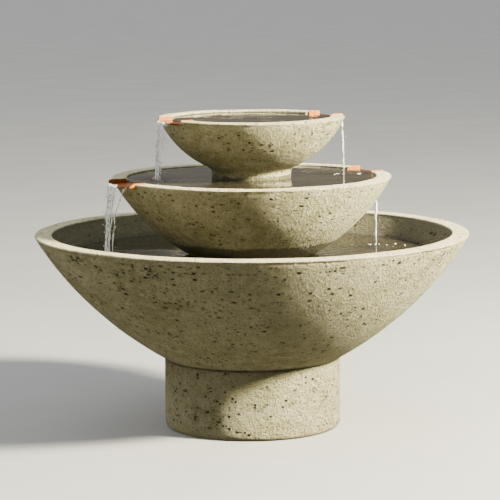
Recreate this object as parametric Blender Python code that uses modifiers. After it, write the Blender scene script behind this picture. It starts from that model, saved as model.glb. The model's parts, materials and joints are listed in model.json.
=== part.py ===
"""Tiered water fountain: three cast-stone bowls on a drum pedestal, four copper spouts, a hidden pump.

Metres, +Z up. The origin is on the ground, at the centre of the pedestal. The front is at -Y.
"""
import math

import bmesh
import bpy

GAP = 0.0003          # clearance between neighbouring solids

# Stone tiers: outer rim radius, rim top height and rim width of each bowl
LOWER_R, LOWER_TOP, LOWER_RIM = 0.570, 0.5155, 0.045
MIDDLE_R, MIDDLE_TOP, MIDDLE_RIM = 0.367, 0.6640, 0.0405
UPPER_R, UPPER_TOP, UPPER_RIM = 0.2445, 0.8195, 0.0365
LOWER_FLOOR, MIDDLE_FLOOR, UPPER_FLOOR = 0.238, 0.478, 0.716
LOWER_SEAT_R = 0.231
MIDDLE_FOOT_R, UPPER_FOOT_R = 0.150, 0.104
RIM_EDGE = 0.0055     # rounding of a rim's two edges

# Pedestal and the seam above it
PEDESTAL_R, PEDESTAL_TOP, PEDESTAL_WALL = 0.2325, 0.182, 0.043
PEDESTAL_FOOT_ROUND = 0.013
SEAM = 0.003          # gap that the levelling shims fill
CORD_ARCH_W, CORD_ARCH_H = 0.050, 0.038

# Rings that carry the upper tiers
LOWER_RISER_R, LOWER_RISER_WALL, LOWER_RISER_TOP = 0.150, 0.032, 0.422
UPPER_RISER_R, UPPER_RISER_WALL, UPPER_RISER_TOP = 0.100, 0.028, 0.620
MIDDLE_RECESS_R, MIDDLE_RECESS_TOP = 0.105, 0.438
UPPER_RECESS_R, UPPER_RECESS_TOP = 0.068, 0.688

# Copper spouts, seen along the way the water flows
SPOUT_AZIMUTH = math.radians(26)
SPOUT_W = 0.135
SPOUT_SHEET = 0.003
SPOUT_PROUD = 0.0025  # how far the side walls stand above the rim
SPOUT_DEPTH = 0.0085  # channel floor below the rim
SPOUT_FOLD = 0.004
NOTCH_CLEARANCE = 0.0005
# Each spout's inner end and lip, as distances from the main axis
UPPER_LEFT_SPAN = (0.196, 0.236)
UPPER_RIGHT_SPAN = (0.204, 0.237)
MIDDLE_LEFT_SPAN = (0.328, 0.3775)
MIDDLE_RIGHT_SPAN = (0.321, 0.361)

# Supply line on the main axis
HOSE_R, HOSE_BORE = 0.0120, 0.0093
HOSE_TOP = 0.560
PIPE_R, PIPE_BORE = 0.0090, 0.0072
PIPE_BOTTOM = 0.520
GROMMET_HOLE_R = 0.0174
FITTING_R, FITTING_HOLE_R = 0.0120, 0.0126
CORD_HOLE_R, CORD_HOLE_X = 0.0165, -0.075
CORD_R = 0.0040

# Pump, in its own frame: x right, y up, z along the rotor towards the intake
PUMP_FOOT_H = 0.0415
VOLUTE_R, CHAMBER_R = 0.030, 0.025
VOLUTE_BACK, CHAMBER_BACK, VOLUTE_FRONT = -0.009, -0.006, 0.009
MOTOR_HALF_W, MOTOR_HALF_H, MOTOR_BACK = 0.0345, 0.034, -0.080
MOTOR_WALL = 0.0035
WELL_R, WELL_TUBE_R, WELL_BACK = 0.0118, 0.0142, -0.049
OUTLET_R, OUTLET_BORE, OUTLET_TOP = 0.0088, 0.0055, 0.048
IMPELLER_R, MAGNET_R, SLEEVE_R, SHAFT_R = 0.0215, 0.0106, 0.0039, 0.0015
CAGE_HALF, CAGE_WALL, CAGE_BACK, CAGE_FRONT = 0.033, 0.002, 0.0130, 0.046
DIAL_R = 0.014


# ---------------------------------------------------------------- scene, materials and helpers

for stale in list(bpy.data.objects):
    bpy.data.objects.remove(stale, do_unlink=True)

parts = bpy.data.collections.new("tiered_water_fountain")
cutters = bpy.data.collections.new("cutters")
bpy.context.scene.collection.children.link(parts)
bpy.context.scene.collection.children.link(cutters)


def material(name, colour, roughness, metallic=0.0):
    mat = bpy.data.materials.new(name)
    mat.use_nodes = True
    shader = mat.node_tree.nodes["Principled BSDF"]
    shader.inputs["Base Color"].default_value = (*colour, 1.0)
    shader.inputs["Roughness"].default_value = roughness
    shader.inputs["Metallic"].default_value = metallic
    mat.diffuse_color = (*colour, 1.0)
    return mat


STONE = material("cast_stone", (0.56, 0.53, 0.43), 0.9)
RING_STONE = material("riser_stone", (0.45, 0.43, 0.36), 0.92)
COPPER = material("copper", (0.78, 0.36, 0.20), 0.35, 1.0)
PIPE_COPPER = material("pipe_copper", (0.66, 0.33, 0.20), 0.4, 1.0)
RUBBER = material("black_rubber", (0.03, 0.03, 0.03), 0.8)
HOUSING = material("pump_housing", (0.04, 0.045, 0.05), 0.45)
GREY_PLASTIC = material("grey_plastic", (0.22, 0.23, 0.24), 0.5)
BLUE_PLASTIC = material("impeller_plastic", (0.05, 0.16, 0.36), 0.45)
VINYL = material("vinyl_hose", (0.12, 0.14, 0.13), 0.35)
FOAM = material("filter_foam", (0.05, 0.05, 0.06), 0.95)
STEEL = material("stainless_steel", (0.60, 0.60, 0.62), 0.3, 1.0)
LAMINATION = material("core_steel", (0.30, 0.30, 0.32), 0.45, 1.0)
WINDING = material("enamelled_winding", (0.50, 0.20, 0.08), 0.4, 0.6)
FERRITE = material("ferrite", (0.08, 0.08, 0.09), 0.6)
CERAMIC = material("shaft_ceramic", (0.85, 0.84, 0.80), 0.25)


def place(obj, mat, parent=None, location=(0, 0, 0), rotation=(0, 0, 0), collection=parts):
    """Links an object, gives it its material, and sets it where it belongs."""
    collection.objects.link(obj)
    obj.parent = parent
    obj.location = location
    obj.rotation_euler = rotation
    if mat is not None:
        obj.data.materials.append(mat)
    if collection is cutters:
        obj.hide_render = True
        obj.display_type = "WIRE"
    return obj


def from_bmesh(name, bm):
    mesh = bpy.data.meshes.new(name)
    bm.to_mesh(mesh)
    bm.free()
    mesh.shade_smooth()
    mesh.set_sharp_from_angle(angle=math.radians(32))
    return bpy.data.objects.new(name, mesh)


def turned(name, profile, steps, mat, **where):
    """Turns (radius, height) points about Z. They run down the outside; one that never
    touches the axis is closed back up its inside."""
    bm = bmesh.new()
    points = [bm.verts.new((radius, 0.0, height)) for radius, height in profile]
    follow = points[1:]
    if min(radius for radius, _ in profile) > 0:
        follow = follow + points[:1]
    for start, end in zip(points, follow):
        bm.edges.new((start, end))
    obj = place(from_bmesh(name, bm), mat, **where)
    screw = obj.modifiers.new("turn", "SCREW")
    screw.steps = steps
    screw.render_steps = steps
    screw.use_merge_vertices = True
    screw.merge_threshold = 0.00001
    screw.use_smooth_shade = True
    return obj


def ring(name, outer, inner, low, high, steps, mat, **where):
    profile = [(outer, high), (outer, low), (inner, low), (inner, high)]
    return turned(name, profile, steps, mat, **where)


def disc(name, radius, low, high, steps, mat, **where):
    return turned(name, [(0.0, high), (radius, high), (radius, low), (0.0, low)], steps, mat, **where)


def box(name, low, high, mat, **where):
    bm = bmesh.new()
    bmesh.ops.create_cube(bm, size=1.0)
    for vert in bm.verts:
        for axis in range(3):
            vert.co[axis] = low[axis] if vert.co[axis] < 0 else high[axis]
    obj = place(from_bmesh(name, bm), mat, **where)
    obj.data.shade_flat()
    return obj


def flat(name, outline, half_thickness, mat, **where):
    """A filled flat outline in local X and Y, thickened both ways along local Z."""
    curve = bpy.data.curves.new(name, "CURVE")
    curve.dimensions = "2D"
    curve.fill_mode = "BOTH"
    curve.extrude = half_thickness
    spline = curve.splines.new("POLY")
    spline.points.add(len(outline) - 1)
    for point, (x, y) in zip(spline.points, outline):
        point.co = (x, y, 0.0, 1.0)
    spline.use_cyclic_u = True
    return place(bpy.data.objects.new(name, curve), mat, **where)


def bevel(obj, width, segments=2):
    mod = obj.modifiers.new("edge", "BEVEL")
    mod.width = width
    mod.segments = segments
    mod.limit_method = "ANGLE"
    mod.angle_limit = math.radians(40)


def boolean(obj, tool, operation="DIFFERENCE"):
    mod = obj.modifiers.new(tool.name, "BOOLEAN")
    mod.operation = operation
    mod.solver = "EXACT"
    mod.object = tool


def cut_box(obj, name, low, high, **where):
    boolean(obj, box(name, low, high, None, collection=cutters, **where))


def cut_disc(obj, name, radius, low, high, steps=24, **where):
    boolean(obj, disc(name, radius, low, high, steps, None, collection=cutters, **where))


def join_box(obj, name, low, high, **where):
    boolean(obj, box(name, low, high, None, collection=cutters, **where), "UNION")


def join_disc(obj, name, radius, low, high, steps=24, **where):
    boolean(obj, disc(name, radius, low, high, steps, None, collection=cutters, **where), "UNION")


def arc(start, end, bulge, count):
    """Points of a circular arc between two (radius, height) points, both ends included.
    A positive bulge swells to the right of the way from start to end."""
    (x0, y0), (x1, y1) = start, end
    half = math.hypot(x1 - x0, y1 - y0) / 2
    radius = (half * half + bulge * bulge) / (2 * abs(bulge))
    sweep = 2 * math.asin(half / radius) * (1 if bulge > 0 else -1)
    along = ((x1 - x0) / (2 * half), (y1 - y0) / (2 * half))
    side = (along[1], -along[0])
    sign = 1 if bulge > 0 else -1
    offset = sign * (radius - abs(bulge))
    centre = ((x0 + x1) / 2 - side[0] * offset, (y0 + y1) / 2 - side[1] * offset)
    first = math.atan2(y0 - centre[1], x0 - centre[0])
    angles = [first + sweep * i / (count - 1) for i in range(count)]
    return [(centre[0] + radius * math.cos(a), centre[1] + radius * math.sin(a)) for a in angles]


def empty(name, location=(0, 0, 0), rotation=(0, 0, 0), parent=None):
    obj = bpy.data.objects.new(name, None)
    parts.objects.link(obj)
    obj.parent = parent
    obj.location = location
    obj.rotation_euler = rotation
    return obj


# ---------------------------------------------------------------- stone tiers

def rim(radius, top, width):
    """A flat rim with rounded edges, from its inner edge over the top to its outer edge."""
    inside = radius - width
    corner = 0.3 * RIM_EDGE
    return [
        (inside, top - RIM_EDGE), (inside + corner, top - corner), (inside + RIM_EDGE, top),
        (radius - RIM_EDGE, top), (radius - corner, top - corner), (radius, top - RIM_EDGE),
    ]


def bowl_outline(centre, floor, floor_radius, rim_points, inner_bulge, shell_end, outer_bulge, count):
    """From the middle of the floor up the inside, over the rim and down the outer wall."""
    inner_wall = arc((floor_radius, floor), rim_points[0], inner_bulge, count)
    outer_wall = arc(rim_points[-1], shell_end, -outer_bulge, count)
    return [(centre, floor)] + inner_wall + rim_points[1:-1] + outer_wall


def foot_outline(shell_end, foot_radius, fillet_drop, bottom, recess_radius, recess_top, hole):
    """A hollow fillet under the bowl, the foot, its flat ring and the recess that the riser opens into."""
    fillet = arc(shell_end, (foot_radius, shell_end[1] - fillet_drop), 0.2 * fillet_drop, 3)
    return fillet[1:] + [(foot_radius, bottom), (recess_radius, bottom), (recess_radius, recess_top),
                         (hole, recess_top)]


def cut_notches(bowl, radius, top):
    """One straight cut across the bowl opens both rim notches, opposite each other."""
    half = SPOUT_W / 2 + NOTCH_CLEARANCE
    floor = top - SPOUT_DEPTH - SPOUT_SHEET - NOTCH_CLEARANCE
    reach = radius + 0.03
    cut_box(bowl, bowl.name + "_notches", (-reach, -half, floor), (reach, half, top + 0.03),
            rotation=(0, 0, SPOUT_AZIMUTH))


def make_pedestal():
    inner = PEDESTAL_R - PEDESTAL_WALL
    chamfer = 0.003
    swell = PEDESTAL_FOOT_ROUND * (1 - math.sqrt(0.5))
    foot = arc((PEDESTAL_R, PEDESTAL_FOOT_ROUND), (PEDESTAL_R - PEDESTAL_FOOT_ROUND, 0.0), -swell, 3)
    profile = [(PEDESTAL_R - chamfer, PEDESTAL_TOP), (PEDESTAL_R, PEDESTAL_TOP - chamfer)] + foot
    profile += [(inner, 0.0), (inner, PEDESTAL_TOP)]
    pedestal = turned("pedestal", profile, 40, STONE)
    half = CORD_ARCH_W / 2
    spring = CORD_ARCH_H - half
    cut_box(pedestal, "cord_arch_sides", (-half, inner - 0.02, -0.02), (half, PEDESTAL_R + 0.02, spring))
    cut_disc(pedestal, "cord_arch_crown", half, inner - 0.02, PEDESTAL_R + 0.02, 16,
             location=(0, 0, spring), rotation=(math.radians(-90), 0, 0))


def make_lower_bowl():
    seat = PEDESTAL_TOP + SEAM
    rim_points = rim(LOWER_R, LOWER_TOP, LOWER_RIM)
    shell_end = (LOWER_SEAT_R + 0.004, seat + 0.003)
    profile = bowl_outline(0.0, LOWER_FLOOR, 0.212, rim_points, 0.031, shell_end, 0.0303, 7)
    profile += [(LOWER_SEAT_R, seat), (0.0, seat)]
    bowl = turned("lower_bowl", profile, 44, STONE)
    cut_disc(bowl, "cord_hole", CORD_HOLE_R, seat - 0.02, LOWER_FLOOR + 0.02, 16, location=(CORD_HOLE_X, 0, 0))


def make_middle_bowl():
    shell_end = (0.168, 0.460)
    rim_points = rim(MIDDLE_R, MIDDLE_TOP, MIDDLE_RIM)
    profile = bowl_outline(GROMMET_HOLE_R, MIDDLE_FLOOR, 0.140, rim_points, 0.013, shell_end, 0.0195, 6)
    profile += foot_outline(shell_end, MIDDLE_FOOT_R, 0.013, LOWER_RISER_TOP, MIDDLE_RECESS_R,
                            MIDDLE_RECESS_TOP, GROMMET_HOLE_R)
    cut_notches(turned("middle_bowl", profile, 40, STONE), MIDDLE_R, MIDDLE_TOP)


def make_upper_bowl():
    shell_end = (0.128, 0.694)
    rim_points = rim(UPPER_R, UPPER_TOP, UPPER_RIM)
    profile = bowl_outline(FITTING_HOLE_R, UPPER_FLOOR, 0.085, rim_points, 0.010, shell_end, 0.013, 5)
    profile += foot_outline(shell_end, UPPER_FOOT_R, 0.017, UPPER_RISER_TOP, UPPER_RECESS_R,
                            UPPER_RECESS_TOP, FITTING_HOLE_R)
    cut_notches(turned("upper_bowl", profile, 36, STONE), UPPER_R, UPPER_TOP)


def make_risers():
    """Two stone rings. Arches at the bottom of each let the water through."""
    lower = ring("lower_riser", LOWER_RISER_R, LOWER_RISER_R - LOWER_RISER_WALL,
                 LOWER_FLOOR + GAP, LOWER_RISER_TOP - GAP, 28, RING_STONE)
    for i in range(2):
        cut_disc(lower, f"lower_riser_arches_{i + 1}", 0.026, -0.2, 0.2, 16, location=(0, 0, LOWER_FLOOR),
                 rotation=(math.radians(90), 0, math.radians(90 * i)))
    upper = ring("upper_riser", UPPER_RISER_R, UPPER_RISER_R - UPPER_RISER_WALL,
                 MIDDLE_FLOOR + GAP, UPPER_RISER_TOP - GAP, 24, RING_STONE)
    cut_disc(upper, "upper_riser_arches", 0.018, -0.15, 0.15, 16, location=(0, 0, MIDDLE_FLOOR),
             rotation=(math.radians(90), 0, 0))


def make_shims():
    """Thin plastic wedges in the seam between the pedestal and the lower bowl."""
    length, thin, thick = 0.036, 0.0009, SEAM - 2 * GAP
    for i in range(3):
        azimuth = math.radians(90 + 120 * i)
        reach = PEDESTAL_R - PEDESTAL_WALL + 0.001
        foot = (reach * math.cos(azimuth), reach * math.sin(azimuth), PEDESTAL_TOP + GAP)
        flat(f"levelling_shim_{i + 1}", [(0, 0), (length, 0), (length, thick), (0, thin)], 0.009,
             GREY_PLASTIC, location=foot, rotation=(math.radians(90), 0, azimuth))


def make_cord_stopper():
    """A rubber plug with a bore for the cord, slit to one side so that it slips over it."""
    top = LOWER_FLOOR + GAP
    shaft = CORD_HOLE_R - GAP
    profile = [(0.0200, top + 0.005), (0.0215, top + 0.0035), (0.0215, top), (shaft, top), (shaft - 0.001, top - 0.034),
               (CORD_R, top - 0.034), (CORD_R, top + 0.005)]
    stopper = turned("cord_stopper", profile, 16, RUBBER, location=(CORD_HOLE_X, 0, 0))
    cut_box(stopper, "cord_slit", (-0.03, -0.0005, top - 0.05), (0.0, 0.0005, top + 0.02),
            location=(CORD_HOLE_X, 0, 0))


# ---------------------------------------------------------------- copper spouts

def quarter(centre, radius, start_degrees, count=4):
    """A quarter turn clockwise."""
    angles = [math.radians(start_degrees - 90 * i / (count - 1)) for i in range(count)]
    return [(centre[0] + radius * math.cos(a), centre[1] + radius * math.sin(a)) for a in angles]


def channel_outline():
    """The U section of a spout; the rim's top is at zero height."""
    half = SPOUT_W / 2
    low = -SPOUT_DEPTH - SPOUT_SHEET
    fold = (half - SPOUT_FOLD, low + SPOUT_FOLD)
    outside = [(half, SPOUT_PROUD)] + quarter(fold, SPOUT_FOLD, 0)
    inside = [(half - SPOUT_SHEET, SPOUT_PROUD)] + quarter(fold, SPOUT_FOLD - SPOUT_SHEET, 0)
    mirrored_outside = [(-x, y) for x, y in reversed(outside)]
    mirrored_inside = [(-x, y) for x, y in inside]
    return outside + mirrored_outside + mirrored_inside + list(reversed(inside))


def make_spout(name, azimuth, top, span):
    middle = (span[0] + span[1]) / 2
    flat(name, channel_outline(), (span[1] - span[0]) / 2, COPPER,
         location=(middle * math.cos(azimuth), middle * math.sin(azimuth), top),
         rotation=(math.radians(90), 0, azimuth + math.radians(90)))


# ---------------------------------------------------------------- supply line on the main axis

PUMP_AXIS_Z = LOWER_FLOOR + GAP + PUMP_FOOT_H
PUMP = empty("pump_frame", (0, 0, PUMP_AXIS_Z), (math.radians(90), 0, 0))


def make_outlet_adapter():
    """A cap nut over the pump's outlet, with a barbed tail that the hose pushes onto."""
    tip, barb, core = 0.078, 0.0090, 0.0080
    shoulder = OUTLET_TOP + 0.0028
    profile = []
    for i in range(2):
        profile += [(core, tip - 0.006 * i), (barb, tip - 0.006 * i - 0.0045), (core, tip - 0.006 * i - 0.0045)]
    profile += [(core, 0.0545), (0.0115, 0.0545), (0.0128, 0.0532), (0.0128, 0.0385), (OUTLET_R + GAP, 0.0385),
                (OUTLET_R + GAP, shoulder), (0.0062, shoulder), (0.0062, tip)]
    turned("outlet_adapter", profile, 16, HOUSING, location=(0, 0, PUMP_AXIS_Z))

    bpy.ops.mesh.primitive_torus_add(major_segments=16, minor_segments=6, major_radius=0.0073,
                                     minor_radius=0.0009)
    seal = bpy.context.active_object
    for owner in list(seal.users_collection):
        owner.objects.unlink(seal)
    seal.name = "outlet_o_ring"
    seal.data.shade_smooth()
    place(seal, RUBBER, location=(0, 0, PUMP_AXIS_Z + OUTLET_TOP + 0.0014))


def make_hose_and_pipe():
    ring("supply_hose", HOSE_R, HOSE_BORE, PUMP_AXIS_Z + 0.0548, HOSE_TOP, 16, VINYL)
    ring("riser_pipe", PIPE_R, PIPE_BORE, PIPE_BOTTOM, 0.700, 16, PIPE_COPPER)


def make_clamp(name, height):
    """A worm-drive band round the hose, and its screw through the housing on the band."""
    band_r, band_h = HOSE_R + GAP + 0.0008, 0.0045
    band = ring("hose_clamp_" + name, band_r, HOSE_R + GAP, -band_h, band_h, 16, STEEL, location=(0, 0, height))
    join_box(band, f"clamp_housing_{name}", (0.0126, -0.006, -0.0055), (0.0212, 0.006, 0.0055),
             location=(0, 0, height))
    screw_at = (0.0174, 0, height)
    lying = (math.radians(90), 0, 0)
    cut_disc(band, f"clamp_bore_{name}", 0.0028, -0.02, 0.02, 12, location=screw_at, rotation=lying)
    profile = [(0.0, 0.0112), (0.0040, 0.0112), (0.0040, 0.0066), (0.0025, 0.0066), (0.0025, -0.0085), (0.0, -0.0085)]
    turned("clamp_screw_" + name, profile, 10, STEEL, location=screw_at, rotation=lying)


def make_grommet():
    inner, neck, lip, lip_h = HOSE_R + GAP, GROMMET_HOLE_R - GAP, 0.0220, 0.003
    top, bottom = MIDDLE_FLOOR + GAP, MIDDLE_RECESS_TOP - GAP
    profile = [(lip, top + lip_h), (lip, top), (neck, top), (neck, bottom), (lip, bottom), (lip, bottom - lip_h),
               (inner, bottom - lip_h), (inner, top + lip_h)]
    turned("middle_bowl_grommet", profile, 16, RUBBER)


def make_bulkhead():
    """The fitting through the upper bowl's floor, its gasket, its nut and the cap over its nozzle."""
    ring("bulkhead_gasket", 0.0210, FITTING_R + GAP, UPPER_FLOOR + GAP, UPPER_FLOOR + 0.0027, 16, RUBBER)
    flange = UPPER_FLOOR + 0.0030
    nozzle_top, thread_end, pipe_stop = 0.742, 0.668, 0.7003
    profile = [(0.0110, nozzle_top), (0.0110, flange + 0.0045), (0.0220, flange + 0.0045), (0.0220, flange),
               (FITTING_R, flange), (FITTING_R, thread_end), (PIPE_R + GAP, thread_end), (PIPE_R + GAP, pipe_stop),
               (0.0075, pipe_stop), (0.0075, nozzle_top)]
    turned("bulkhead_fitting", profile, 16, HOUSING)

    nut = disc("bulkhead_nut", 0.0200, 0.679, UPPER_RECESS_TOP - GAP, 6, HOUSING)
    cut_disc(nut, "bulkhead_nut_bore", FITTING_R + GAP, 0.66, 0.70, 16)

    cap = turned("diffuser_cap", [(0.0, 0.758), (0.020, 0.756), (0.028, 0.752), (0.028, 0.750), (0.0, 0.752)],
                 20, PIPE_COPPER)
    for i in range(3):
        join_box(cap, f"diffuser_leg_{i + 1}", (0.0122, -0.0015, 0.729), (0.0205, 0.0015, 0.7525),
                 rotation=(0, 0, math.radians(30 + 120 * i)))
    collar = ring("diffuser_collar", 0.0138, 0.0113, 0.7245, 0.7375, 16, None, collection=cutters)
    boolean(cap, collar, "UNION")


# ---------------------------------------------------------------- pump

def make_pump_body():
    """Volute, outlet tube and motor housing in one moulding. The rotor turns in a well that
    reaches back into the housing, between the legs of the core."""
    body = disc("pump_body", VOLUTE_R, VOLUTE_BACK, VOLUTE_FRONT, 20, HOUSING, parent=PUMP)
    join_box(body, "motor_housing", (-MOTOR_HALF_W, -MOTOR_HALF_H, MOTOR_BACK),
             (MOTOR_HALF_W, MOTOR_HALF_H, VOLUTE_BACK + 0.0005), parent=PUMP)
    upright = (math.radians(-90), 0, 0)
    join_disc(body, "outlet_tube", OUTLET_R, 0.0, OUTLET_TOP, 16, parent=PUMP, rotation=upright)
    cut_box(body, "motor_pocket", (MOTOR_WALL - MOTOR_HALF_W, MOTOR_WALL - MOTOR_HALF_H, MOTOR_BACK - 0.01),
            (MOTOR_HALF_W - MOTOR_WALL, MOTOR_HALF_H - MOTOR_WALL, -0.013), parent=PUMP)
    join_disc(body, "rotor_well_tube", WELL_TUBE_R, WELL_BACK - 0.0025, -0.0125, 16, parent=PUMP)
    for i, (x, y) in enumerate(screw_corners()):
        join_disc(body, f"screw_boss_{i + 1}", 0.0042, MOTOR_BACK + 0.0003, -0.060, 8, parent=PUMP,
                  location=(x, y, 0))
        cut_disc(body, f"screw_hole_{i + 1}", 0.0014, MOTOR_BACK - 0.01, -0.064, 8, parent=PUMP,
                 location=(x, y, 0))
    cut_disc(body, "impeller_chamber", CHAMBER_R, CHAMBER_BACK, VOLUTE_FRONT + 0.01, 20, parent=PUMP)
    cut_disc(body, "rotor_well", WELL_R, WELL_BACK, CHAMBER_BACK + 0.003, 16, parent=PUMP)
    cut_disc(body, "outlet_bore", OUTLET_BORE, 0.010, OUTLET_TOP + 0.01, 12, parent=PUMP, rotation=upright)


def screw_corners():
    x, y = 0.0272, 0.0270
    return [(-x, -y), (x, -y), (x, y), (-x, y)]


def make_motor():
    """The laminated core, a winding on each of its legs, and the cover that closes the housing."""
    leg_in, leg_out = 0.0152, 0.0232
    outline = [(-leg_out, -0.072), (leg_out, -0.072), (leg_out, -0.016), (leg_in, -0.016), (leg_in, -0.064),
               (-leg_in, -0.064), (-leg_in, -0.016), (-leg_out, -0.016)]
    flat("stator_core", outline, 0.009, LAMINATION, parent=PUMP, rotation=(math.radians(90), 0, 0))
    for side, sign in (("left", -1), ("right", 1)):
        middle = sign * (leg_in + leg_out) / 2
        half = (leg_out - leg_in) / 2
        coil = box("stator_coil_" + side, (-half - 0.0048, -0.0140, -0.0635), (half + 0.0048, 0.0140, -0.0540),
                   WINDING, parent=PUMP, location=(middle, 0, 0))
        bevel(coil, 0.002)
        cut_box(coil, "coil_window_" + side, (-half - GAP, -0.009 - GAP, -0.07), (half + GAP, 0.009 + GAP, -0.05),
                parent=PUMP, location=(middle, 0, 0))

    low, high = MOTOR_BACK - 0.0038, MOTOR_BACK - GAP
    cover = box("motor_back_cover", (-MOTOR_HALF_W, -MOTOR_HALF_H, low), (MOTOR_HALF_W, MOTOR_HALF_H, high),
                HOUSING, parent=PUMP)
    bevel(cover, 0.001, 1)
    for i, (x, y) in enumerate(screw_corners()):
        cut_disc(cover, f"cover_hole_{i + 1}", 0.0014, low - 0.01, high + 0.01, 8, parent=PUMP, location=(x, y, 0))
    cut_disc(cover, "gland_hole", 0.0055, low - 0.01, high + 0.01, 12, parent=PUMP, location=(0, -0.018, 0))

    head, tip = low - GAP, -0.068
    profile = [(0.0, tip), (0.0011, tip), (0.0011, head), (0.0026, head), (0.0024, head - 0.0016), (0.0, head - 0.0016)]
    for i, (x, y) in enumerate(screw_corners()):
        turned(f"back_cover_screw_{i + 1}", profile, 8, STEEL, parent=PUMP, location=(x, y, 0))

    profile = [(0.0052, -0.0765), (0.0052, low - GAP), (0.0085, low - GAP), (0.0085, low - 0.003), (0.0062, low - 0.004),
               (0.0050, -0.1020), (0.0034, -0.1020), (0.0034, -0.0765)]
    turned("cord_gland", profile, 12, RUBBER, parent=PUMP, location=(0, -0.018, 0))


def make_rotor():
    """Shaft and bushes stay still; the impeller and its magnet turn on them."""
    disc("rotor_shaft", SHAFT_R, WELL_BACK + GAP, 0.0128, 8, CERAMIC, parent=PUMP)
    ring("rear_bush", WELL_R - GAP, SHAFT_R + GAP, WELL_BACK + GAP, -0.0459, 16, RUBBER, parent=PUMP)
    ring("front_bush", 0.0028, SHAFT_R + GAP, 0.0096, 0.0120, 12, RUBBER, parent=PUMP)
    ring("rotor_magnet", MAGNET_R, SLEEVE_R + GAP, -0.0448, -0.0050, 16, FERRITE, parent=PUMP)
    hub, disc_back, disc_front, vane_top = 0.0045, -0.0046, -0.0030, 0.0055
    profile = [(hub, vane_top), (hub, disc_front), (IMPELLER_R, disc_front), (IMPELLER_R, disc_back),
               (SLEEVE_R, disc_back), (SLEEVE_R, -0.0450), (SHAFT_R + GAP, -0.0450), (SHAFT_R + GAP, vane_top)]
    impeller = turned("impeller", profile, 16, BLUE_PLASTIC, parent=PUMP)
    for i in range(5):
        join_box(impeller, f"vane_{i + 1}", (0.0036, -0.0008, disc_front - 0.0006), (0.0205, 0.0008, vane_top - 0.0004),
                 parent=PUMP, rotation=(0, 0, math.radians(72 * i)))


def make_volute_cover():
    """The plate over the impeller. Three spokes across its intake hold the front bush."""
    low, high, intake = 0.0093, 0.0123, 0.0090
    cover = ring("volute_cover", VOLUTE_R - GAP, intake, low, high, 20, GREY_PLASTIC, parent=PUMP)
    hub = ring("spoke_hub", 0.0050, 0.0031, low, high, 12, None, parent=PUMP, collection=cutters)
    boolean(cover, hub, "UNION")
    for i in range(3):
        join_box(cover, f"spoke_{i + 1}", (0.0042, -0.0009, low + 0.0004), (intake + 0.001, 0.0009, high - 0.0004),
                 parent=PUMP, rotation=(0, 0, math.radians(90 + 120 * i)))


def make_intake():
    """A slotted cage that pulls off forwards with its sponge, and the flow dial on its front."""
    inner = CAGE_HALF - CAGE_WALL
    cage = box("intake_grille", (-CAGE_HALF, -CAGE_HALF, CAGE_BACK), (CAGE_HALF, CAGE_HALF, CAGE_FRONT),
               HOUSING, parent=PUMP)
    bevel(cage, 0.003, 2)
    cut_box(cage, "cage_inside", (-inner, -inner, CAGE_BACK - 0.01), (inner, inner, CAGE_FRONT - CAGE_WALL),
            parent=PUMP)
    for side, sign in (("left", -1), ("right", 1)):
        near, far = sorted((sign * 0.0304, sign * (CAGE_HALF - 0.0004)))
        join_box(cage, "clip_" + side, (near, -0.006, -0.002), (far, 0.006, CAGE_BACK + 0.006), parent=PUMP)
    slot = 0.0016
    for i in range(5):
        at = -0.020 + 0.010 * i
        cut_box(cage, f"side_slot_{i + 1}", (-0.04, at - slot, 0.022), (0.04, at + slot, 0.041), parent=PUMP)
        cut_box(cage, f"top_slot_{i + 1}", (at - slot, -0.04, 0.018), (at + slot, 0.04, 0.041), parent=PUMP)
    for i, at in enumerate((-0.0255, -0.0190, 0.0190, 0.0255)):
        cut_box(cage, f"front_slot_{i + 1}", (-0.026, at - slot, 0.0425), (0.026, at + slot, 0.06), parent=PUMP)
    cut_disc(cage, "dial_hole", 0.0033, 0.0425, 0.06, 12, parent=PUMP)

    sponge = box("filter_sponge", (-0.0303, -0.0303, 0.0205), (0.0303, 0.0303, 0.0410), FOAM, parent=PUMP)
    bevel(sponge, 0.002, 1)

    rear, face = CAGE_FRONT + GAP, CAGE_FRONT + 0.0043
    tip = CAGE_FRONT - CAGE_WALL - GAP
    profile = [(0.0, face), (DIAL_R - 0.001, face), (DIAL_R, face - 0.001), (DIAL_R, rear), (0.0030, rear), (0.0030, tip),
               (0.0044, tip), (0.0044, tip - 0.0012), (0.0, tip - 0.0012)]
    dial = turned("flow_dial", profile, 16, GREY_PLASTIC, parent=PUMP)
    join_box(dial, "dial_grip", (-0.012, -0.0022, face - 0.001), (0.012, 0.0022, face + 0.0055), parent=PUMP)


def make_feet():
    """Suction feet, hollow underneath."""
    height = PUMP_FOOT_H - MOTOR_HALF_H - GAP
    profile = [(0.0, height), (0.0045, height), (0.0045, 0.0045), (0.0088, 0.0012), (0.0092, 0.0), (0.0080, 0.0),
               (0.0030, 0.0028), (0.0, 0.0028)]
    for i, (x, y) in enumerate(((-0.024, 0.020), (0.024, 0.020), (0.024, 0.066), (-0.024, 0.066))):
        turned(f"pump_foot_{i + 1}", profile, 12, RUBBER, location=(x, y, LOWER_FLOOR + GAP))


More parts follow.
